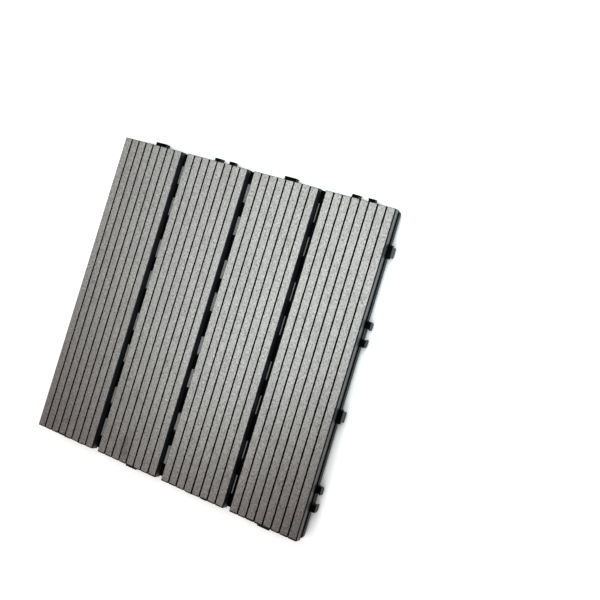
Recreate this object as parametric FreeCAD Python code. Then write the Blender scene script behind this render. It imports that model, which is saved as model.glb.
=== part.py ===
"""Interlocking deck tile: four grooved composite slats screwed to a moulded base grid.

Millimetres, +Z up. The tile lies on its feet: the origin is on the floor under the
middle of the tile. The slats run along Y, and the connectors stand out on all four sides.
"""
import FreeCAD, Part
import math
import os

Vec = FreeCAD.Vector

# Whole tile
tile_size = 300.0              # slat side to slat side, and slat end to slat end
slat_count = 4
slat_gap = 6.8                 # drain gap between the slats
joint_gap = 5.6                # drain gap between joined tiles

# Slat section
slat_thickness = 9.0
rib_count = 8                  # walking ribs on each slat
groove_width = 1.25            # at the mouth
groove_floor = 0.8
groove_depth = 1.8
top_arris = 0.8                # chamfer of the two long upper edges
bottom_arris = 0.7             # chamfer of the two long lower edges
side_foot = 7.0                # flat under each long edge that seats on the grid
centre_foot = 8.0              # flat under the middle, which takes the screws
foot_slope = 3.0               # run of the slope from a foot up to its recess
underside_recess = 2.3         # depth of the two relieved channels

# Base grid, from the floor up
leg_height = 5.5
web_height = 4.5               # perimeter rail and the ribs under the skin
skin_thickness = 3.0           # seat of the slats, set back above the rail
module_count = 4               # modules along each side
rib_thickness = 2.4            # ribs on the module lines, and the blades of the feet
wall_thickness = 2.0           # other walls of the grid
rail_inset = 0.2               # rail face behind the slat side
rail_corner = 3.3              # radius of the rail's corners
skin_setback = 3.2             # skin edge behind the slat side
rim_width = 5.4                # solid band behind the slat side
bar_width = 14.0               # skinned bars on the module centre lines
slot_width = 10.3              # drain slots beside the module lines
slot_margin = 12.5             # end of a drain slot to the module line that it points at

# Feet
fin_length = 7.0               # short feet along the edges
fin_spacing = 18.75            # from a module centre line to its short feet
foot_setback = 2.8             # outer feet behind the slat side
cross_length = 11.0            # cross feet

# Screws, one at each end of a slat, and their posts
screw_shank = 3.4              # diameter
screw_length = 10.5            # under the head
screw_head = 7.2               # diameter
head_height = 2.3
post_width = 13.0              # square post of the grid round a screw
post_bore = 8.4                # width of its square bore, which clears the head and the driver
post_floor = 5.0               # plastic that the head pulls up against the slat
shank_clearance = 0.2          # radial, in the post
pilot_clearance = 0.05         # radial, in the slat
pilot_spare = 0.6              # pilot bore beyond the tip

# Connectors
connector_reach = 4.0          # beyond the slat side
connector_drop = 2.5           # how far connectors hang below the rail
tongue_cover = 12.4            # width of the plate over the tongue
socket_width = 10.2            # between the two arms
arm_width = 6.6
arm_taper = 1.4                # narrowing of an arm's outer face towards its foot
barb_depth = 0.9               # how far a barb reaches into the socket
barb_length = 0.95
lock_play = 0.3                # all round the tongue in the socket
cover_play = 0.3               # over and under the plate of the tongue
lead_in = 0.8                  # chamfer under the tongue

# Places that follow from the sizes above
half = tile_size / 2
slat_width = (tile_size - (slat_count - 1) * slat_gap) / slat_count
slat_pitch = slat_width + slat_gap
rib_pitch = slat_width / rib_count
module = tile_size / module_count
skin_z = leg_height + web_height
seat_z = skin_z + skin_thickness
top_z = seat_z + slat_thickness
head_z = seat_z - post_floor
connector_z = leg_height - connector_drop
rail_face = half - rail_inset
rim_inner = half - rim_width
connector_tip = half + connector_reach


def centred(count, pitch):
    """Coordinates of count places at one pitch, centred on zero."""
    return [(i - (count - 1) / 2) * pitch for i in range(count)]


slat_lines = centred(slat_count, slat_pitch)
module_centres = centred(module_count, module)
module_lines = centred(module_count + 1, module)
screw_rows = (module_centres[0], module_centres[-1])
screw_places = [(x, y) for x in slat_lines for y in screw_rows]
post_offset = max(abs(x - centre) for x, centre in zip(slat_lines, module_centres))


def block(x0, x1, y0, y1, z0, z1):
    """Box between two corners."""
    return Part.makeBox(x1 - x0, y1 - y0, z1 - z0, Vec(x0, y0, z0))


def cylinder(place, z0, z1, diameter):
    """Upright cylinder on one place of the plan."""
    x, y = place
    return Part.makeCylinder(diameter / 2, z1 - z0, Vec(x, y, z0))


def post(place, z0, z1, width):
    """Upright square prism, centred on one place of the plan."""
    x, y = place
    side = width / 2
    return block(x - side, x + side, y - side, y + side, z0, z1)


def polygon(corners):
    """Closed wire through a list of points."""
    return Part.makePolygon(corners + corners[:1])


def slat_section(x):
    """Section of one slat, centred on x, at the tile's front edge."""
    side = slat_width / 2
    outline = [(-side, top_z - top_arris), (top_arris - side, top_z)]
    for index in range(1, rib_count):
        groove = index * rib_pitch - side
        outline.append((groove - groove_width / 2, top_z))
        outline.append((groove - groove_floor / 2, top_z - groove_depth))
        outline.append((groove + groove_floor / 2, top_z - groove_depth))
        outline.append((groove + groove_width / 2, top_z))
    outline += [(side - top_arris, top_z), (side, top_z - top_arris)]
    channel_z = seat_z + underside_recess
    underside = [
        (side, seat_z + bottom_arris),
        (side - bottom_arris, seat_z),
        (side - side_foot, seat_z),
        (side - side_foot - foot_slope, channel_z),
        (centre_foot / 2 + foot_slope, channel_z),
        (centre_foot / 2, seat_z),
    ]
    outline += underside
    outline += [(-offset, z) for offset, z in reversed(underside)]
    return Part.Face(polygon([Vec(x + offset, -half, z) for offset, z in outline]))


def make_slat(x):
    """One extruded slat with a blind pilot bore for each of its screws."""
    slat = slat_section(x).extrude(Vec(0, tile_size, 0))
    bore_top = head_z + screw_length + pilot_spare
    bore = screw_shank + 2 * pilot_clearance
    pilots = [cylinder((x, y), seat_z, bore_top, bore) for y in screw_rows]
    return slat.cut(Part.makeCompound(pilots))


def inside_rim(value):
    """A coordinate kept off the solid band behind the slat side."""
    return max(-rim_inner, min(rim_inner, value))


def quarter_holes(x, y, sx, sy):
    """Corner lists of a quarter module: its open cell, its drain slots, and the web round them."""
    rib = module / 2 - rib_thickness / 2
    bar = bar_width / 2
    slot = rib - slot_width
    slot_end = module / 2 - slot_margin
    cell = slot - wall_thickness

    def corners(*offsets):
        return [(inside_rim(x + sx * u), inside_rim(y + sy * v)) for u, v in offsets]

    open_cell = corners((bar, bar), (cell, bar), (cell, cell), (bar, cell))
    slot_along_y = corners((slot, bar), (rib, bar), (rib, slot_end), (slot, slot_end))
    slot_along_x = corners((bar, slot), (slot_end, slot), (slot_end, rib), (bar, rib))
    under_pad = corners((slot, bar), (rib, bar), (rib, rib), (bar, rib), (bar, slot), (slot, slot))
    return open_cell, [slot_along_y, slot_along_x], under_pad


def bar_pockets(x, y):
    """Corner lists of the pockets under the four bars of one module."""
    start = post_width / 2 + post_offset + wall_thickness
    end = module / 2 - rib_thickness / 2
    side = bar_width / 2 - wall_thickness
    pockets = []
    for sign in (-1, 1):
        u0, u1 = sign * start, sign * end
        lengthwise = ((u0, -side), (u1, -side), (u1, side), (u0, side))
        pockets.append([(inside_rim(x + u), y + v) for u, v in lengthwise])
        pockets.append([(x + v, inside_rim(y + u)) for u, v in lengthwise])
    return pockets


def square(half_side, z):
    """Wire of a square, centred on the tile."""
    return polygon([Vec(half_side * i, half_side * j, z) for i, j in ((1, 1), (-1, 1), (-1, -1), (1, -1))])


def rounded_square(half_side, radius, z):
    """Wire of a square with rounded corners."""
    inner = half_side - radius
    bulge = inner + radius * math.sqrt(0.5)
    edges = []
    for quarter in range(4):
        turn = FreeCAD.Rotation(Vec(0, 0, 1), 90 * quarter)
        start = turn.multVec(Vec(half_side, inner, z))
        middle = turn.multVec(Vec(bulge, bulge, z))
        end = turn.multVec(Vec(inner, half_side, z))
        following = turn.multVec(Vec(-inner, half_side, z))
        edges.append(Part.Arc(start, middle, end).toShape())
        edges.append(Part.LineSegment(end, following).toShape())
    return Part.Wire(edges)


def layer(edge, holes, z0, z1):
    """Plate with holes inside one edge wire, between two heights."""
    wires = [edge]
    wires += [polygon([Vec(x, y, z0) for x, y in hole]) for hole in holes]
    return Part.makeFace(wires, "Part::FaceMakerBullseye").extrude(Vec(0, 0, z1 - z0))


def cross_foot(x, y):
    """Foot with two crossing blades, kept behind the edge of the tile."""
    limit = half - foot_setback
    thin = rib_thickness / 2
    arm = cross_length / 2
    x = max(thin - limit, min(limit - thin, x))
    y = max(thin - limit, min(limit - thin, y))
    along_x = block(max(x - arm, -limit), min(x + arm, limit), y - thin, y + thin, 0, leg_height)
    along_y = block(x - thin, x + thin, max(y - arm, -limit), min(y + arm, limit), 0, leg_height)
    return along_x.fuse(along_y)


def make_feet():
    """Cross feet under the module corners, and short feet along the four edges."""
    feet = [cross_foot(x, y) for x in module_lines for y in module_lines]
    outer = half - foot_setback
    for centre in module_centres:
        for offset in (-fin_spacing, fin_spacing):
            low = centre + offset - fin_length / 2
            high = low + fin_length
            for edge in (-outer, outer - rib_thickness):
                feet.append(block(edge, edge + rib_thickness, low, high, 0, leg_height))
                feet.append(block(low, high, edge, edge + rib_thickness, 0, leg_height))
    return feet


def make_tongue(v):
    """Connector that drops into a socket: a cover plate, and a T-shaped tongue below it."""
    cover = tongue_cover / 2
    head = socket_width / 2 - lock_play
    neck = head - barb_depth
    barb_back = half + joint_gap - connector_reach + barb_length
    shoulder = barb_back + lock_play
    cover_z = skin_z + cover_play
    plate = block(rim_inner, connector_tip, v - cover, v + cover, cover_z, seat_z - cover_play)
    back = block(rim_inner, rail_face, v - cover, v + cover, connector_z, leg_height)
    stem = block(rim_inner, shoulder, v - neck, v + neck, connector_z, cover_z)
    bar = block(shoulder, connector_tip, v - head, v + head, connector_z, cover_z)
    tongue = stem.fuse(bar)
    tolerance = 0.01
    low_edges = [e for e in tongue.Edges if e.BoundBox.ZMax < connector_z + tolerance]
    leading = [e for e in low_edges if e.BoundBox.XMax > connector_tip - tolerance]
    return [plate, back, tongue.makeChamfer(lead_in, leading)]


def make_socket(v):
    """Connector that takes a tongue: two tapered arms with barbs, on one back wall."""
    inner = socket_width / 2
    outer = inner + arm_width
    catch = inner - barb_depth
    pieces = [block(rim_inner, rail_face, v - outer, v + outer, connector_z, leg_height)]
    for side in (-1, 1):
        arm = [
            Vec(rim_inner, v + side * inner, skin_z),
            Vec(rim_inner, v + side * outer, skin_z),
            Vec(rim_inner, v + side * outer, leg_height),
            Vec(rim_inner, v + side * (outer - arm_taper), connector_z),
            Vec(rim_inner, v + side * inner, connector_z),
        ]
        barb = [
            Vec(connector_tip, v + side * inner, skin_z),
            Vec(connector_tip, v + side * catch, skin_z - barb_depth),
            Vec(connector_tip, v + side * catch, connector_z),
            Vec(connector_tip, v + side * inner, connector_z),
        ]
        pieces.append(Part.Face(polygon(arm)).extrude(Vec(connector_tip - rim_inner, 0, 0)))
        pieces.append(Part.Face(polygon(barb)).extrude(Vec(-barb_length, 0, 0)))
    return pieces


def make_connectors():
    """Tongues and sockets in turn along each side, the same on all four sides."""
    one_side = []
    for index, v in enumerate(reversed(module_centres)):
        one_side += make_tongue(v) if index % 2 == 0 else make_socket(v)
    connectors = []
    for quarter in range(4):
        for piece in one_side:
            turned = piece.copy()
            turned.rotate(Vec(0, 0, 0), Vec(0, 0, 1), 90 * quarter)
            connectors.append(turned)
    return connectors


def make_base_grid():
    """The one-piece moulded grid that carries the slats."""
    skin_holes, web_holes = [], []
    for x in module_centres:
        for y in module_centres:
            web_holes += bar_pockets(x, y)
            for sx, sy in ((-1, -1), (-1, 1), (1, -1), (1, 1)):
                open_cell, slots, under_pad = quarter_holes(x, y, sx, sy)
                skin_holes += [open_cell] + slots
                web_holes += [open_cell, under_pad]
    web = layer(rounded_square(rail_face, rail_corner, leg_height), web_holes, leg_height, skin_z)
    skin = layer(square(half - skin_setback, skin_z), skin_holes, skin_z, seat_z)
    posts = [post(place, 0, seat_z, post_width) for place in screw_places]
    grid = web.multiFuse([skin] + posts + make_feet() + make_connectors())
    bores = [post(place, 0, head_z, post_bore) for place in screw_places]
    hole = screw_shank + 2 * shank_clearance
    bores += [cylinder(place, head_z, seat_z, hole) for place in screw_places]
    return grid.cut(Part.makeCompound(bores)).removeSplitter()


def make_screw(place):
    """Screw driven upwards, its head under the floor of its post."""
    shank = cylinder(place, head_z, head_z + screw_length, screw_shank)
    head = cylinder(place, head_z - head_height, head_z, screw_head)
    return head.fuse(shank)


def write(name, shape):
    """One STEP file for each piece, or for a group of like pieces."""
    shape.exportStep(os.path.join("parts", name + ".step"))


def main():
    os.makedirs("parts", exist_ok=True)
    for number, x in enumerate(slat_lines, start=1):
        write("slat_%d" % number, make_slat(x))
    write("base_grid", make_base_grid())
    write("slat_screws", Part.makeCompound([make_screw(place) for place in screw_places]))


main()
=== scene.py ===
import math

import bmesh
import bpy
from mathutils import Matrix, Vector, noise


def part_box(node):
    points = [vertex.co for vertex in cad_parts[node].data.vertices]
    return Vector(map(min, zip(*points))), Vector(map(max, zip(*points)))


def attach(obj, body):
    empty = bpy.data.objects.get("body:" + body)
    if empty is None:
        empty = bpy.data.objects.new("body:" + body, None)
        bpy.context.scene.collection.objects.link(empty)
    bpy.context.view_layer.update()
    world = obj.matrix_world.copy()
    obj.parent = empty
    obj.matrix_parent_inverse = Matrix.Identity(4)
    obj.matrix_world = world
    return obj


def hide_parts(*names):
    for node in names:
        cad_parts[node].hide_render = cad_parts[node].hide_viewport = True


MM = 0.001

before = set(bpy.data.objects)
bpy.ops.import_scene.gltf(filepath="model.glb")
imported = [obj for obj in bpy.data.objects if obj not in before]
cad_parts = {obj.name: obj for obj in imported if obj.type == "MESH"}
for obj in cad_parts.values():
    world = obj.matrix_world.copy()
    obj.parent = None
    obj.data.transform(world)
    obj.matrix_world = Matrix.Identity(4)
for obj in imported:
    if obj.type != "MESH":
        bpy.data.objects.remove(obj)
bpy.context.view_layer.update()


# Camera: the photograph's viewpoint over the tile's face. The photograph is a crop from below
# its optical axis, so the lens is shifted.
IMAGE_WIDTH = 600              # pixels, and its height too
FOCAL_PIXELS = 974.7
AXIS_COLUMN = 300.5            # the optical axis, from the image's left edge
AXIS_ROW = 240.5               # and from its top edge
SENSOR_MM = 36.0
CAMERA_PLACE = Vector((460.7, 88.9, 808.6)) * MM
CAMERA_AIM = Vector((70.5, 100.1, 22.0)) * MM
PHOTO_UP = Vector((-0.2540, 0.9571, 0.1397))
CAMERA_NEAR = 0.01             # metres; nothing nearer is drawn

# Lights and floor
WORLD_LIGHT = 0.243
WORLD_TINT = (1.0, 0.77, 0.73, 1.0)      # warm fill
KEY_TINT = (0.92, 1.0, 1.01)             # and a slightly cool key
KEY_PLACE = Vector((70, 120, 210)) * MM
KEY_AIM = Vector((10, 197, 22)) * MM
KEY_SIZE = 0.38                # metres along each side
KEY_WATTS = 1.18
FLOOR_COLOUR = (0.80, 0.90, 0.91, 1.0)   # nearly neutral under both lights
FLOOR_ROUGHNESS = 0.9
FLOOR_HALF = 6.0               # metres from the middle to a side
FLOOR_SHINE = 0.86             # what the camera sees of the floor before any light falls on it
FLOOR_SHADE = 0.14             # share of that shine that is left right under the tile
FLOOR_SHADE_REACH = 40.0       # millimetres
FLOOR_SHADE_RANGE = (0.30, 0.75)         # openness at which the shade is full, and gone
FLOOR_SHADE_SAMPLES = 8

# Colours, linear, each as a darkest and a palest tone
RIB_DARK = (0.113, 0.110, 0.105, 1)
RIB_PALE = (0.527, 0.518, 0.500, 1)
# painted shade: the skin darker and less glossy than on the underside, for grooves, rib edges and
# sides
SHADED_SKIN_DARK = (0.003, 0.0032, 0.004, 1)
SHADED_SKIN_PALE = (0.008, 0.0085, 0.010, 1)
UNDER_DARK = (0.022, 0.021, 0.020, 1)
UNDER_PALE = (0.044, 0.042, 0.040, 1)
# painted sheen: paler, bluish tones of the skin for the band along the slats' sides
SIDE_SHEEN_DARK = (0.005, 0.0058, 0.007, 1)
SIDE_SHEEN_PALE = (0.012, 0.0135, 0.0165, 1)
SAWN_DARK = (0.085, 0.079, 0.073, 1)
SAWN_PALE = (0.250, 0.236, 0.222, 1)
PLASTIC_DARK = (0.0075, 0.0082, 0.0097, 1)
PLASTIC_PALE = (0.0150, 0.0166, 0.0197, 1)
# painted shade: darker tones of the plastic for the grid's upper faces
SHADED_TOP_DARK = (0.0012, 0.0013, 0.0015, 1)
SHADED_TOP_PALE = (0.0030, 0.0033, 0.0038, 1)
STEEL_DARK = (0.42, 0.42, 0.42, 1)
STEEL_PALE = (0.60, 0.60, 0.60, 1)

# Gloss: the shaders' specular levels
RIB_GLOSS = 0.14
SHADED_SKIN_GLOSS = 0.03
UNDER_GLOSS = 0.15
SIDE_SHEEN_GLOSS = 0.60
SAWN_GLOSS = 0.10
PLASTIC_GLOSS = 0.12
SHADED_TOP_GLOSS = 0.02
STEEL_GLOSS = 0.50

# Roughness, lowest and highest
RIB_ROUGHNESS = (0.42, 0.62)   # on the skin, and where sanded
SKIN_ROUGHNESS = (0.40, 0.56)
SIDE_ROUGHNESS = (0.34, 0.48)
SAWN_ROUGHNESS = 0.8           # all over
PLASTIC_ROUGHNESS = (0.36, 0.50)
STEEL_ROUGHNESS = (0.24, 0.40)

# Values of a noise, or of a sum of noises, that give the darkest and the palest tone
NOISE_RANGE = (0.3, 0.7)       # what a single noise mostly keeps to
RIB_TONES = (0.411, 0.581)
SKIN_TONES = (0.35, 0.65)
SAWN_TONES = (0.38, 0.62)
TURNING_RANGE = (0.2, 0.8)     # for the steel's roughness

# Marks on the ribs, in millimetres unless they say otherwise
SKIN_LEFT = (0.015, 0.06)      # depth from which a rib's edges keep their pressed skin
SKIN_FADE = 0.015
FRONT_SKIN_AND_SHADE = (-1.2, -0.5)      # ragged line of skin at the front end, widened by painted contact shadow,
FRONT_SKIN_AND_SHADE_DRIFT = 3.6         # which a slow noise moves inwards
BACK_SKIN = 0.25               # and a straight one at the back end
END_SKIN_FADE = 0.2
SMUDGE_RANGE = (0.64, 0.76)    # noise that makes a smudge
SMUDGE_DEPTH = 0.04            # taken from the ribs' tone
SHADE_PATCH_PLACE = (-45.0, -135.0, 22.0)      # painted shade: a dark patch near the front end of the second slat
SHADE_PATCH_SIZE = (11.0, 18.0, 11.0)
SHADE_PATCH_RAGGED = 1.2             # how far the smudges' noise frays it
SHADE_PATCH_RANGE = (0.7, 1.5)       # where it is full, and gone
SHADE_PATCH_DEPTH = 0.048            # taken from the ribs' tone

# Slat section in millimetres, as in the CAD, with the small radii of its edges
SLAT_COUNT = 4
RIB_COUNT = 8
GROOVE_WIDTH = 1.25
GROOVE_FLOOR = 0.8
GROOVE_DEPTH = 1.8
TOP_ARRIS = 0.8
BOTTOM_ARRIS = 0.7
SIDE_FOOT = 7.0
CENTRE_FOOT = 8.0
FOOT_SLOPE = 3.0
UNDERSIDE_RECESS = 2.3
SHEEN_BAND = (1.6, 6.4)         # band of painted sheen on a side, in depth below the walking face
ARRIS_RADIUS = 0.55
MOUTH_RADIUS = 0.42
FLOOR_RADIUS = 0.25
FOOT_RADIUS = 0.5
CURVE_STEPS = 3
SLAT_STEP = 3.0                # between cross sections along a slat
# Sawn ends: how far in from the end, and how far the section is drawn in there
END_ROUNDING = ((0.0, 0.18), (0.05, 0.09), (0.12, 0.03), (0.25, 0.0))

# Uneven edges of the ribs
EDGE_WANDER = 0.035            # how far an edge strays from straight, in millimetres
WANDER_LENGTH = 14.0
WANDER_DEPTH = 1.2             # below the walking face it has died away
STRAIGHT_SIDE = 1.1            # width along a slat's sides that stays straight
EDGE_SEED = 3.7
SLAT_SEED = 11.3

# Material slots of a slat; the darker skin is painted shade and the side band painted sheen
RIB, SHADED_SKIN, SIDE_SHEEN, SAWN, UNDER = range(5)
RIB_FACE_DEPTH = 0.9           # millimetres below the walking face that are a rib's face
NEAR = 0.01                    # millimetres that two places may differ by and be the same

# Material slots of the grid: its upper faces are darker and less glossy, painted shade for the gaps
GLOSSY, SHADED_TOP = range(2)
UPWARD = 0.7                   # least upward part of an upper face's normal

# Edges of the grid, in millimetres
GRID_WELD = 0.002
GRID_ROUNDING = 0.25
GRID_ROUNDING_STEPS = 2
TIP_ROUNDING = 0.7
TIP_ROUNDING_STEPS = 3
TIP_FROM = 153.0               # connector tips start here
FLAT_ANGLE = math.radians(1)   # faces that meet at less are one face
SHARP_ANGLE = math.radians(25)           # convex edges above this are eased

# Screws in millimetres
SCREW_HEAD_Z = 8.0
SCREW_ROW = 112.5
SCREW_TURN = 0.9               # radians from one screw's recess to the next one's
TURN_STEPS = 24
HEAD_RADIUS = 3.6
HEAD_HEIGHT = 2.3
HEAD_EDGE = 0.12
DOME_STEPS = 5
DOME_FACE = 0.45               # share of the head's radius that is flat
DOME_HEIGHT = 0.62             # share of the head's height that is domed
SHANK_LENGTH = 10.5
SHANK_ROWS = 96
SHANK_CREST = 1.68
SHANK_ROOT = 1.22
THREAD_PITCH = 1.3
THREAD_FLANK = 0.28            # share of the pitch on each side of a crest
THREAD_START = 0.8             # the thread grows over this length under the head
POINT_LENGTH = 2.6
POINT_WIDTH = 0.15             # share of the root's radius that is left at the tip
POINT_THREAD = 1.6             # how much sooner the thread is full than the root
RECESS_WIDTH = 0.95
RECESS_REACH = 1.9
RECESS_DEPTH = 1.3
RECESS_MOUTH = (0.3, 1.12)     # how far the cutter starts outside the head, and its scale there
RECESS_FLOOR_SCALE = 0.55
SMOOTH_ANGLE = math.radians(38)
PILOT_RADIUS = 1.75
PILOT_TOP = 19.1
PILOT_STEPS = 32
PILOT_START = 1.0              # how far the cutter starts below the slat


def make_camera():
    data = bpy.data.cameras.new("camera")
    data.sensor_width = SENSOR_MM
    data.lens = FOCAL_PIXELS / IMAGE_WIDTH * SENSOR_MM
    data.shift_x = (IMAGE_WIDTH / 2 - AXIS_COLUMN) / IMAGE_WIDTH
    data.shift_y = (AXIS_ROW - IMAGE_WIDTH / 2) / IMAGE_WIDTH
    data.clip_start = CAMERA_NEAR
    camera = bpy.data.objects.new("camera", data)
    bpy.context.scene.collection.objects.link(camera)
    back = (CAMERA_PLACE - CAMERA_AIM).normalized()
    right = PHOTO_UP.cross(back).normalized()
    up = back.cross(right)
    turn = Matrix((right, up, back)).transposed()
    camera.matrix_world = Matrix.Translation(CAMERA_PLACE) @ turn.to_4x4()
    bpy.context.scene.camera = camera


# Materials
class Nodes:
    """A material's node tree, with short calls for the nodes used here."""

    def __init__(self, name):
        self.material = bpy.data.materials.new(name)
        self.material.use_nodes = True
        self.tree = self.material.node_tree
        self.shader = self.tree.nodes["Principled BSDF"]
        self.place = self.add("ShaderNodeTexCoord").outputs["Object"]

    def add(self, kind, **settings):
        node = self.tree.nodes.new(kind)
        for key, value in settings.items():
            setattr(node, key, value)
        return node

    def link(self, source, target):
        self.tree.links.new(source, target)

    def feed(self, socket, value):
        """Links a socket to the input, or sets a plain value on it."""
        if isinstance(value, bpy.types.NodeSocket):
            self.link(value, socket)
        else:
            socket.default_value = value

    def math(self, operation, a, b=0.0, c=0.0):
        node = self.add("ShaderNodeMath", operation=operation)
        for socket, value in zip(node.inputs, (a, b, c)):
            self.feed(socket, value)
        return node.outputs[0]

    def total(self, *terms):
        """Sum of values, each given with its weight."""
        value, weight = terms[0]
        result = self.math("MULTIPLY", value, weight)
        for value, weight in terms[1:]:
            result = self.math("MULTIPLY_ADD", value, weight, result)
        return result

    def millimetres(self, start, end):
        """Millimetres from start to end, which are in metres."""
        return self.math("DIVIDE", self.math("SUBTRACT", end, start), MM)

    def stretched(self, size):
        """The place on the object, divided by a size in millimetres on each axis."""
        node = self.add("ShaderNodeMapping", vector_type="POINT")
        self.link(self.place, node.inputs["Vector"])
        node.inputs["Scale"].default_value = [1 / (value * MM) for value in size]
        return node.outputs["Vector"]

    def distance(self, place, size):
        """Distance from a place in millimetres, as a share of a size on each axis."""
        node = self.add("ShaderNodeMapping", vector_type="TEXTURE")
        self.link(self.place, node.inputs["Vector"])
        node.inputs["Location"].default_value = [value * MM for value in place]
        node.inputs["Scale"].default_value = [value * MM for value in size]
        length = self.add("ShaderNodeVectorMath", operation="LENGTH")
        self.link(node.outputs["Vector"], length.inputs[0])
        return length.outputs["Value"]

    def noise(self, size, detail=3.0, roughness=0.5):
        """Noise with grains of a size in millimetres on each axis."""
        node = self.add("ShaderNodeTexNoise")
        self.link(self.stretched(size), node.inputs["Vector"])
        node.inputs["Scale"].default_value = 1.0
        node.inputs["Detail"].default_value = detail
        node.inputs["Roughness"].default_value = roughness
        return node.outputs["Fac"]

    def cells(self, size):
        """Distance from the middle of cells of a size in millimetres on each axis."""
        node = self.add("ShaderNodeTexVoronoi")
        self.link(self.stretched(size), node.inputs["Vector"])
        node.inputs["Scale"].default_value = 1.0
        return node.outputs["Distance"]

    def ramp(self, value, source, target=(0.0, 1.0)):
        """Value from one range mapped on to another, and held inside it."""
        node = self.add("ShaderNodeMapRange")
        self.link(value, node.inputs["Value"])
        node.inputs["From Min"].default_value, node.inputs["From Max"].default_value = source
        node.inputs["To Min"].default_value, node.inputs["To Max"].default_value = target
        return node.outputs["Result"]

    def mix(self, amount, a, b):
        node = self.add("ShaderNodeMix", data_type="RGBA")
        self.link(amount, node.inputs["Factor"])
        self.feed(node.inputs["A"], a)
        self.feed(node.inputs["B"], b)
        return node.outputs["Result"]

    def bump(self, shape, height, strength):
        """Bumps that follow a shape, with their height in millimetres."""
        node = self.add("ShaderNodeBump")
        self.link(shape, node.inputs["Height"])
        node.inputs["Distance"].default_value = height * MM
        node.inputs["Strength"].default_value = strength
        return node.outputs["Normal"]

    def finished(self, colour, roughness, gloss, bumps):
        """The material, with the shader's inputs joined up or set."""
        inputs = self.shader.inputs
        self.link(colour, inputs["Base Color"])
        self.feed(inputs["Roughness"], roughness)
        inputs["Specular IOR Level"].default_value = gloss
        self.link(bumps, inputs["Normal"])
        return self.material


def sanded_share(n):
    """One on a rib's sanded face, and nought where the pressed skin is left and where painted
    shadow widens it at the front end.
    """
    split = n.add("ShaderNodeSeparateXYZ")
    n.link(n.place, split.inputs[0])
    low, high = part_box("slat_1")
    depth = n.millimetres(split.outputs["Z"], high.z)
    from_front = n.millimetres(low.y, split.outputs["Y"])
    from_back = n.millimetres(split.outputs["Y"], high.y)
    ragged = n.noise((0.6, 5.0, 0.6))
    above_skin = n.math("SUBTRACT", n.ramp(ragged, NOISE_RANGE, SKIN_LEFT), depth)
    sanded = n.ramp(above_skin, (0.0, SKIN_FADE))
    drift = n.noise((22.0, 22.0, 22.0), detail=2.0)
    # painted shadow: the skin line at the front end is widened into a dark band
    front_skin_and_shade = n.math("MULTIPLY_ADD", drift, FRONT_SKIN_AND_SHADE_DRIFT,
                        n.ramp(ragged, NOISE_RANGE, FRONT_SKIN_AND_SHADE))
    for distance, skin_and_shade in ((from_front, front_skin_and_shade), (from_back, BACK_SKIN)):
        beyond_skin = n.math("SUBTRACT", distance, skin_and_shade)
        sanded = n.math("MULTIPLY", sanded, n.ramp(beyond_skin, (0.0, END_SKIN_FADE)))
    return sanded


def rib_material():
    """Sanded faces of the ribs, with the pressed skin left on their edges."""
    n = Nodes("composite_rib")
    sanded = sanded_share(n)
    streaks = n.noise((0.4, 9.0, 0.4), detail=4.0, roughness=0.6)
    speckle = n.noise((0.55, 2.0, 0.55), roughness=0.7)
    flecks = n.noise((1.0, 3.6, 1.0), detail=2.0, roughness=0.6)
    mottle = n.noise((12.0, 40.0, 12.0), detail=2.0)
    tone = n.total((speckle, 0.58), (streaks, 0.26), (mottle, 0.04), (flecks, 0.12))
    smudge = n.noise((14.0, 26.0, 14.0), roughness=0.6)
    tone = n.math("SUBTRACT", tone, n.ramp(smudge, SMUDGE_RANGE, (0.0, SMUDGE_DEPTH)))
    # painted shade: a dark patch near the front end of the second slat
    from_shade_patch = n.math("MULTIPLY_ADD", smudge, SHADE_PATCH_RAGGED,
                        n.distance(SHADE_PATCH_PLACE, SHADE_PATCH_SIZE))
    tone = n.math("SUBTRACT", tone, n.ramp(from_shade_patch, SHADE_PATCH_RANGE, (SHADE_PATCH_DEPTH, 0.0)))
    rib = n.mix(n.ramp(tone, RIB_TONES), RIB_DARK, RIB_PALE)
    # unsanded edges take the darker skin of painted shade
    skin_and_shade = n.mix(n.ramp(n.noise((0.8, 6.0, 0.8)), NOISE_RANGE), SHADED_SKIN_DARK, SHADED_SKIN_PALE)
    roughness = n.ramp(sanded, (0.0, 1.0), RIB_ROUGHNESS)
    grain = n.total((speckle, 0.5), (streaks, 0.5))
    bumps = n.bump(grain, height=0.10, strength=0.6)
    return n.finished(n.mix(sanded, skin_and_shade, rib), roughness, RIB_GLOSS, bumps)


def skin_material(name, dark, pale, gloss):
    """Pressed skin that the extruder leaves on the composite; the darker copy of it stands for
    painted shade.
    """
    n = Nodes(name)
    streaks = n.noise((0.5, 12.0, 0.5), detail=4.0, roughness=0.6)
    blotches = n.noise((5.0, 14.0, 5.0))
    tone = n.total((blotches, 0.4), (streaks, 0.6))
    colour = n.mix(n.ramp(tone, SKIN_TONES), dark, pale)
    roughness = n.ramp(blotches, NOISE_RANGE, SKIN_ROUGHNESS)
    bumps = n.bump(streaks, height=0.08, strength=0.5)
    return n.finished(colour, roughness, gloss, bumps)


def side_sheen_material():
    """Band of painted sheen along the sides of a slat: the same skin made paler, slightly bluish
    and glossier.
    """
    n = Nodes("composite_side_sheen")
    streaks = n.noise((0.5, 10.0, 0.5), detail=4.0, roughness=0.6)
    blotches = n.noise((8.0, 22.0, 8.0))
    tone = n.total((blotches, 0.55), (streaks, 0.45))
    colour = n.mix(n.ramp(tone, SKIN_TONES), SIDE_SHEEN_DARK, SIDE_SHEEN_PALE)
    roughness = n.ramp(streaks, NOISE_RANGE, SIDE_ROUGHNESS)
    bumps = n.bump(streaks, height=0.06, strength=0.5)
    return n.finished(colour, roughness, SIDE_SHEEN_GLOSS, bumps)


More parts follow.
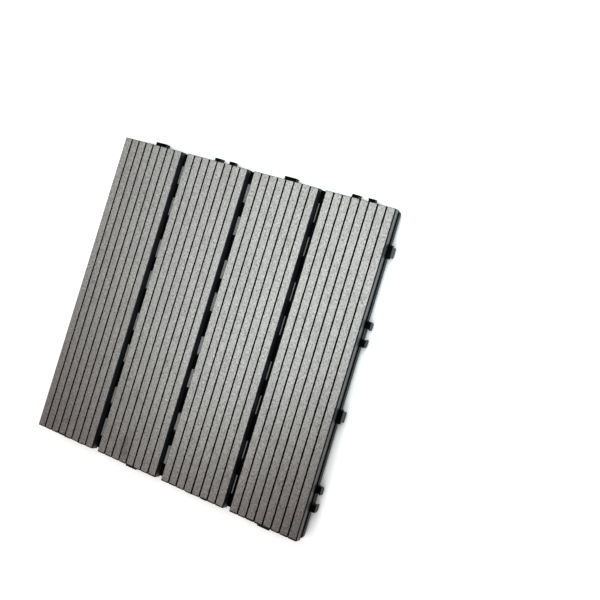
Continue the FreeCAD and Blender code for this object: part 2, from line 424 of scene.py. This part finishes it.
def sawn_material():
    """Sawn ends of the slats: wood flour and plastic, with the marks of the blade."""
    n = Nodes("composite_sawn")
    fibres = n.noise((0.7, 0.7, 0.5), detail=4.0, roughness=0.65)
    chips = n.cells((0.8, 0.8, 0.6))
    marks = n.noise((0.3, 5.0, 9.0), roughness=0.6)
    clouds = n.noise((6.0, 6.0, 4.0))
    tone = n.total((chips, 0.10), (fibres, 0.45), (clouds, 0.20), (marks, 0.25))
    colour = n.mix(n.ramp(tone, SAWN_TONES), SAWN_DARK, SAWN_PALE)
    cut = n.total((fibres, 0.4), (marks, 0.6))
    bumps = n.bump(cut, height=0.20, strength=0.7)
    return n.finished(colour, SAWN_ROUGHNESS, SAWN_GLOSS, bumps)


def plastic_material(name, dark, pale, gloss):
    """Black moulded plastic with a faint grain."""
    n = Nodes(name)
    grain = n.noise((0.5, 0.5, 0.5))
    cloud = n.noise((14.0, 14.0, 14.0))
    colour = n.mix(n.ramp(cloud, NOISE_RANGE), dark, pale)
    roughness = n.ramp(cloud, NOISE_RANGE, PLASTIC_ROUGHNESS)
    bumps = n.bump(grain, height=0.05, strength=0.5)
    return n.finished(colour, roughness, gloss, bumps)


def steel_material():
    """Plain steel with the fine turning marks of a screw."""
    n = Nodes("screw_steel")
    n.shader.inputs["Metallic"].default_value = 1.0
    turned = n.noise((1.2, 1.2, 0.08))
    cloud = n.noise((2.0, 2.0, 2.0))
    roughness = n.ramp(turned, TURNING_RANGE, STEEL_ROUGHNESS)
    colour = n.mix(cloud, STEEL_DARK, STEEL_PALE)
    bumps = n.bump(turned, height=0.02, strength=0.4)
    return n.finished(colour, roughness, STEEL_GLOSS, bumps)


# Pieces
def add_object(name, mesh, materials):
    for material in materials:
        mesh.materials.append(material)
    piece = bpy.data.objects.new(name, mesh)
    bpy.context.scene.collection.objects.link(piece)
    return piece


def to_mesh(bm, name):
    mesh = bpy.data.meshes.new(name)
    bm.to_mesh(mesh)
    bm.free()
    return mesh


def stand_for(piece, node):
    """The piece takes the place of a CAD node and moves with the only body."""
    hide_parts(node)
    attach(piece, "root")


def slat_boxes():
    """Number, lowest corner and highest corner of each slat."""
    return [(number, *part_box("slat_%d" % number)) for number in range(1, SLAT_COUNT + 1)]


def rounded(corners):
    """Closed outline through corners (x, z, radius), each turned by a short curve."""
    points = []
    for index, (x, z, radius) in enumerate(corners):
        corner = Vector((x, z))
        if radius == 0:
            points.append(corner)
            continue
        back = (Vector(corners[index - 1][:2]) - corner).normalized()
        on = (Vector(corners[(index + 1) % len(corners)][:2]) - corner).normalized()
        cut = radius / math.tan(back.angle(on) / 2)
        start = corner + back * cut
        end = corner + on * cut
        for step in range(CURVE_STEPS + 1):
            t = step / CURVE_STEPS
            points.append(start * (1 - t) ** 2 + corner * (2 * t * (1 - t)) + end * t * t)
    return points


def slat_corners(side, thick):
    """Corners of the slat's section from its lower left side over the top and back below."""
    rib_pitch = 2 * side / RIB_COUNT
    corners = [
        (-side, thick - SHEEN_BAND[1], 0),
        (-side, thick - SHEEN_BAND[0], 0),
        (-side, thick - TOP_ARRIS, ARRIS_RADIUS),
        (TOP_ARRIS - side, thick, ARRIS_RADIUS),
    ]
    for index in range(1, RIB_COUNT):
        groove = index * rib_pitch - side
        corners += [
            (groove - GROOVE_WIDTH / 2, thick, MOUTH_RADIUS),
            (groove - GROOVE_FLOOR / 2, thick - GROOVE_DEPTH, FLOOR_RADIUS),
            (groove + GROOVE_FLOOR / 2, thick - GROOVE_DEPTH, FLOOR_RADIUS),
            (groove + GROOVE_WIDTH / 2, thick, MOUTH_RADIUS),
        ]
    corners += [
        (side - TOP_ARRIS, thick, ARRIS_RADIUS),
        (side, thick - TOP_ARRIS, ARRIS_RADIUS),
        (side, thick - SHEEN_BAND[0], 0),
        (side, thick - SHEEN_BAND[1], 0),
    ]
    below = [
        (side, BOTTOM_ARRIS, FOOT_RADIUS),
        (side - BOTTOM_ARRIS, 0, FOOT_RADIUS),
        (side - SIDE_FOOT, 0, FOOT_RADIUS),
        (side - SIDE_FOOT - FOOT_SLOPE, UNDERSIDE_RECESS, FOOT_RADIUS),
        (CENTRE_FOOT / 2 + FOOT_SLOPE, UNDERSIDE_RECESS, FOOT_RADIUS),
        (CENTRE_FOOT / 2, 0, FOOT_RADIUS),
    ]
    return corners + below + [(-x, z, radius) for x, z, radius in reversed(below)]


def inward(points):
    """Unit vector into the section at each point of a clockwise outline."""
    vectors = []
    for index, point in enumerate(points):
        run = points[(index + 1) % len(points)] - points[index - 1]
        vectors.append(Vector((run.y, -run.x)).normalized())
    return vectors


def stations(low, high):
    """Places along a slat with how far the section is drawn in there."""
    places = [(low + away, inset) for away, inset in END_ROUNDING]
    first = places[-1][0]
    last = high - END_ROUNDING[-1][0]
    count = round((last - first) / SLAT_STEP)
    places += [(first + (last - first) * i / count, 0.0) for i in range(1, count)]
    places += [(high - away, inset) for away, inset in reversed(END_ROUNDING)]
    return places


def segment_slot(a, b, side, thick):
    """Material slot of the strip between two neighbouring outline points."""
    lowest, highest = min(a.y, b.y), max(a.y, b.y)
    # on a side, the band takes the painted sheen, and the skin above and below it the darker copy
    # of painted shade
    if min(abs(a.x), abs(b.x)) > side - NEAR:
        below_band = thick - SHEEN_BAND[1] - NEAR
        above_band = thick - SHEEN_BAND[0] + NEAR
        return SIDE_SHEEN if below_band < lowest and highest < above_band else SHADED_SKIN
    if highest < UNDERSIDE_RECESS + NEAR:
        return UNDER
    return RIB if lowest > thick - RIB_FACE_DEPTH else SHADED_SKIN


def wander(point, y, from_ends, number, side, thick):
    """How far sideways a rib's edge has strayed at a place along the slat."""
    near_top = max(0.0, 1 - (thick - point.y) / WANDER_DEPTH)
    if near_top == 0 or abs(point.x) >= side - STRAIGHT_SIDE:
        return 0.0
    half_rib = side / RIB_COUNT
    edge = (point.x + side) // half_rib
    seed = Vector((edge * EDGE_SEED, y / WANDER_LENGTH, number * SLAT_SEED))
    return EDGE_WANDER * near_top * from_ends * noise.noise(seed)


def slat_mesh(number, low, high):
    """One extruded slat with rounded edges, softened sawn ends and slightly uneven rib edges."""
    side = (high.x - low.x) / 2 / MM
    thick = (high.z - low.z) / MM
    centre = (high.x + low.x) / 2 / MM
    outline = rounded(slat_corners(side, thick))
    into = inward(outline)
    front, back = low.y / MM, high.y / MM
    rings = []
    bm = bmesh.new()
    for y, inset in stations(front, back):
        from_ends = min(1.0, (y - front) / SLAT_STEP, (back - y) / SLAT_STEP)
        ring = []
        for point, away in zip(outline, into):
            x, z = point + away * inset
            x += wander(point, y, from_ends, number, side, thick)
            ring.append(bm.verts.new(Vector((centre + x, y, low.z / MM + z)) * MM))
        rings.append(ring)
    following = outline[1:] + outline[:1]
    slots = [segment_slot(a, b, side, thick) for a, b in zip(outline, following)]
    for near, far in zip(rings, rings[1:]):
        for i, slot in enumerate(slots):
            j = (i + 1) % len(slots)
            face = bm.faces.new((near[i], near[j], far[j], far[i]))
            face.material_index = slot
            face.smooth = True
    ends = [bm.faces.new(ring) for ring in (rings[0], rings[-1])]
    for face in ends:
        face.material_index = SAWN
    bmesh.ops.recalc_face_normals(bm, faces=bm.faces)
    bmesh.ops.triangulate(bm, faces=ends, ngon_method="EAR_CLIP")
    return to_mesh(bm, "slat_%d_detail" % number)


def lathe(bm, rings):
    """Closed skin over rings of vertices, each ring one turn."""
    for near, far in zip(rings, rings[1:]):
        for i in range(len(near)):
            j = (i + 1) % len(near)
            bm.faces.new((near[i], near[j], far[j], far[i]))
    bm.faces.new(list(reversed(rings[0])))
    bm.faces.new(rings[-1])


def lathed_mesh(bm, rings, name):
    lathe(bm, rings)
    bmesh.ops.recalc_face_normals(bm, faces=bm.faces)
    return to_mesh(bm, name)


def turned_ring(bm, radius, z, steps):
    turn = 2 * math.pi / steps
    plan = [(radius * math.cos(i * turn), radius * math.sin(i * turn)) for i in range(steps)]
    return [bm.verts.new((x * MM, y * MM, z * MM)) for x, y in plan]


def cut_away(piece, mesh):
    """Takes a cutter mesh out of a piece for good."""
    cutter = bpy.data.objects.new("cutter", mesh)
    bpy.context.scene.collection.objects.link(cutter)
    step = piece.modifiers.new("cut", "BOOLEAN")
    step.operation = "DIFFERENCE"
    step.solver = "EXACT"
    step.object = cutter
    bpy.context.view_layer.update()
    graph = bpy.context.evaluated_depsgraph_get()
    result = bpy.data.meshes.new_from_object(piece.evaluated_get(graph))
    piece.modifiers.remove(step)
    old = piece.data
    result.name = old.name
    piece.data = result
    bpy.data.meshes.remove(old)
    bpy.data.objects.remove(cutter)
    bpy.data.meshes.remove(mesh)


def pilot_cutter(x, seat):
    """Both pilot bores of one slat."""
    bm = bmesh.new()
    for y in (-SCREW_ROW, SCREW_ROW):
        rings = [turned_ring(bm, PILOT_RADIUS, z, PILOT_STEPS)
                 for z in (seat - PILOT_START, PILOT_TOP)]
        for vertex in rings[0] + rings[1]:
            vertex.co += Vector((x, y, 0)) * MM
        lathe(bm, rings)
    bmesh.ops.recalc_face_normals(bm, faces=bm.faces)
    return to_mesh(bm, "pilots")


def make_slats(materials):
    for number, low, high in slat_boxes():
        node = "slat_%d" % number
        piece = add_object("%s_board" % node, slat_mesh(number, low, high), materials)
        cut_away(piece, pilot_cutter((low.x + high.x) / 2 / MM, low.z / MM))
        stand_for(piece, node)


def convex_edges(bm):
    """The edges that a mould would ease."""
    return [e for e in bm.edges if e.is_convex and e.calc_face_angle(0) > SHARP_ANGLE]


def at_tip(edge):
    return all(max(abs(v.co.x), abs(v.co.y)) > TIP_FROM * MM for v in edge.verts)


def ease(bm, edges, radius, steps):
    bmesh.ops.bevel(bm, geom=edges, offset=radius * MM, segments=steps, profile=0.5,
                    affect="EDGES", clamp_overlap=True)


def make_grid(materials):
    """The moulded grid with its edges eased as a mould leaves them."""
    bm = bmesh.new()
    bm.from_mesh(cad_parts["base_grid"].data)
    bmesh.ops.remove_doubles(bm, verts=bm.verts, dist=GRID_WELD * MM)
    bmesh.ops.dissolve_limit(bm, angle_limit=FLAT_ANGLE, verts=bm.verts, edges=bm.edges,
                             delimit=set())
    tips = [edge for edge in convex_edges(bm) if at_tip(edge)]
    ease(bm, tips, TIP_ROUNDING, TIP_ROUNDING_STEPS)
    ease(bm, convex_edges(bm), GRID_ROUNDING, GRID_ROUNDING_STEPS)
    for face in bm.faces:
        # upward faces take the darker plastic of painted shade
        face.material_index = SHADED_TOP if face.normal.z > UPWARD else GLOSSY
    piece = add_object("moulded_grid", to_mesh(bm, "moulded_grid"), materials)
    stand_for(piece, "base_grid")


def head_rings(bm):
    """Rings of a pan head, from its flat face to the face that seats."""
    rings = []
    for step in range(DOME_STEPS + 1):
        angle = math.pi / 2 * step / DOME_STEPS
        radius = HEAD_RADIUS * (DOME_FACE + (1 - DOME_FACE) * math.sin(angle))
        z = -HEAD_HEIGHT + HEAD_HEIGHT * DOME_HEIGHT * (1 - math.cos(angle))
        rings.append(turned_ring(bm, radius, z, TURN_STEPS))
    rings.append(turned_ring(bm, HEAD_RADIUS, -HEAD_EDGE, TURN_STEPS))
    rings.append(turned_ring(bm, HEAD_RADIUS - HEAD_EDGE, 0.0, TURN_STEPS))
    return rings


def shank_radius(z, turned):
    """Radius of a threaded shank at a height, and at a share of a turn round it."""
    share = (z / THREAD_PITCH - turned) % 1.0
    flank = max(0.0, 1 - abs(share - 0.5) / THREAD_FLANK)
    from_tip = min(1.0, (SHANK_LENGTH - z) / POINT_LENGTH)
    root = SHANK_ROOT * (POINT_WIDTH + (1 - POINT_WIDTH) * from_tip)
    thread = (SHANK_CREST - SHANK_ROOT) * flank * min(1.0, z / THREAD_START)
    return root + thread * min(1.0, from_tip * POINT_THREAD)


def screw_mesh():
    """One pan-head screw, point up, with the underside of its head at zero height."""
    bm = bmesh.new()
    rings = head_rings(bm)
    for row in range(SHANK_ROWS + 1):
        z = SHANK_LENGTH * row / SHANK_ROWS
        ring = []
        for step in range(TURN_STEPS):
            radius = shank_radius(z, step / TURN_STEPS)
            turn = 2 * math.pi * step / TURN_STEPS
            place = Vector((radius * math.cos(turn), radius * math.sin(turn), z)) * MM
            ring.append(bm.verts.new(place))
        rings.append(ring)
    return lathed_mesh(bm, rings, "screw")


def recess_cutter():
    """Cross recess, tapering from the head's face to its floor."""
    bm = bmesh.new()
    reach, half = RECESS_REACH, RECESS_WIDTH / 2
    plan = [(reach, half), (half, half), (half, reach)]
    for _ in range(3):
        plan += [(-y, x) for x, y in plan[-3:]]
    beyond, mouth_scale = RECESS_MOUTH
    rings = []
    for z, scale in ((-HEAD_HEIGHT - beyond, mouth_scale),
                     (-HEAD_HEIGHT + RECESS_DEPTH, RECESS_FLOOR_SCALE)):
        rings.append([bm.verts.new(Vector((x * scale, y * scale, z)) * MM) for x, y in plan])
    return lathed_mesh(bm, rings, "recess")


def make_screws(material):
    """All the screws, each at its own turn, in one piece that stands for their node."""
    one = add_object("one_screw", screw_mesh(), [])
    cut_away(one, recess_cutter())
    bm = bmesh.new()
    places = [Vector(((low.x + high.x) / 2, y * MM, SCREW_HEAD_Z * MM))
              for _, low, high in slat_boxes() for y in (-SCREW_ROW, SCREW_ROW)]
    for index, place in enumerate(places):
        copy = one.data.copy()
        copy.transform(Matrix.Translation(place) @ Matrix.Rotation(SCREW_TURN * index, 4, "Z"))
        bm.from_mesh(copy)
        bpy.data.meshes.remove(copy)
    for face in bm.faces:
        face.smooth = True
        face.material_index = 0
    mesh = to_mesh(bm, "deck_screws")
    mesh.set_sharp_from_angle(angle=SMOOTH_ANGLE)
    bpy.data.objects.remove(one)
    piece = add_object("deck_screws", mesh, [material])
    stand_for(piece, "slat_screws")


# Floor and lights
def background_rays(tree):
    """One for rays that show the background: seen directly, in a gloss or through something."""
    path = tree.nodes.new("ShaderNodeLightPath")
    total = path.outputs["Is Camera Ray"]
    for name in ("Is Glossy Ray", "Is Transmission Ray"):
        larger = tree.nodes.new("ShaderNodeMath")
        larger.operation = "MAXIMUM"
        tree.links.new(total, larger.inputs[0])
        tree.links.new(path.outputs[name], larger.inputs[1])
        total = larger.outputs[0]
    return total


def make_floor():
    """Pale floor that runs out to white, and keeps a light shadow of the tile."""
    mesh = bpy.data.meshes.new("floor")
    corners = [(x * FLOOR_HALF, y * FLOOR_HALF, 0) for x, y in ((-1, -1), (1, -1), (1, 1), (-1, 1))]
    mesh.from_pydata(corners, [], [(0, 1, 2, 3)])
    n = Nodes("floor")
    n.shader.inputs["Base Color"].default_value = FLOOR_COLOUR
    n.shader.inputs["Roughness"].default_value = FLOOR_ROUGHNESS
    n.shader.inputs["Emission Color"].default_value = (1, 1, 1, 1)
    cover = n.add("ShaderNodeAmbientOcclusion", samples=FLOOR_SHADE_SAMPLES)
    cover.inputs["Distance"].default_value = FLOOR_SHADE_REACH * MM
    shade = n.ramp(cover.outputs["AO"], FLOOR_SHADE_RANGE, (FLOOR_SHADE, 1.0))
    shine = n.math("MULTIPLY", shade, FLOOR_SHINE)
    strength = n.math("MULTIPLY", background_rays(n.tree), shine)
    n.link(strength, n.shader.inputs["Emission Strength"])
    add_object("floor", mesh, [n.material])


def make_key():
    data = bpy.data.lights.new("key", "AREA")
    data.shape = "RECTANGLE"
    data.size = data.size_y = KEY_SIZE
    data.energy = KEY_WATTS
    data.color = KEY_TINT
    light = bpy.data.objects.new("key", data)
    bpy.context.scene.collection.objects.link(light)
    light.location = KEY_PLACE
    light.rotation_euler = (KEY_AIM - KEY_PLACE).to_track_quat("-Z", "Y").to_euler()
    light.visible_camera = False


def make_world():
    """Warm fill for what it lights, and plain white where it is seen."""
    world = bpy.data.worlds.new("studio")
    world.use_nodes = True
    tree = world.node_tree
    background = tree.nodes["Background"]
    seen = background_rays(tree)
    tint = tree.nodes.new("ShaderNodeMix")
    tint.data_type = "RGBA"
    tree.links.new(seen, tint.inputs["Factor"])
    tint.inputs["A"].default_value = WORLD_TINT
    tint.inputs["B"].default_value = (1, 1, 1, 1)
    tree.links.new(tint.outputs["Result"], background.inputs["Color"])
    level = tree.nodes.new("ShaderNodeMapRange")
    tree.links.new(seen, level.inputs["Value"])
    level.inputs["To Min"].default_value = WORLD_LIGHT
    level.inputs["To Max"].default_value = 1.0
    tree.links.new(level.outputs["Result"], background.inputs["Strength"])
    bpy.context.scene.world = world


bpy.context.scene.view_settings.view_transform = "Standard"
make_camera()
make_slats([
    rib_material(),
    # painted shade: the darker copy of the skin; the underside keeps the skin's own tone
    skin_material("composite_skin_shaded", SHADED_SKIN_DARK, SHADED_SKIN_PALE, SHADED_SKIN_GLOSS),
    # painted sheen on the sides' band
    side_sheen_material(),
    sawn_material(),
    skin_material("composite_under", UNDER_DARK, UNDER_PALE, UNDER_GLOSS),
])
make_grid([
    plastic_material("grid_plastic", PLASTIC_DARK, PLASTIC_PALE, PLASTIC_GLOSS),
    # painted shade on the grid's upper faces
    plastic_material("grid_plastic_shaded_top", SHADED_TOP_DARK, SHADED_TOP_PALE, SHADED_TOP_GLOSS),
])
make_screws(steel_material())
make_floor()
make_key()
make_world()
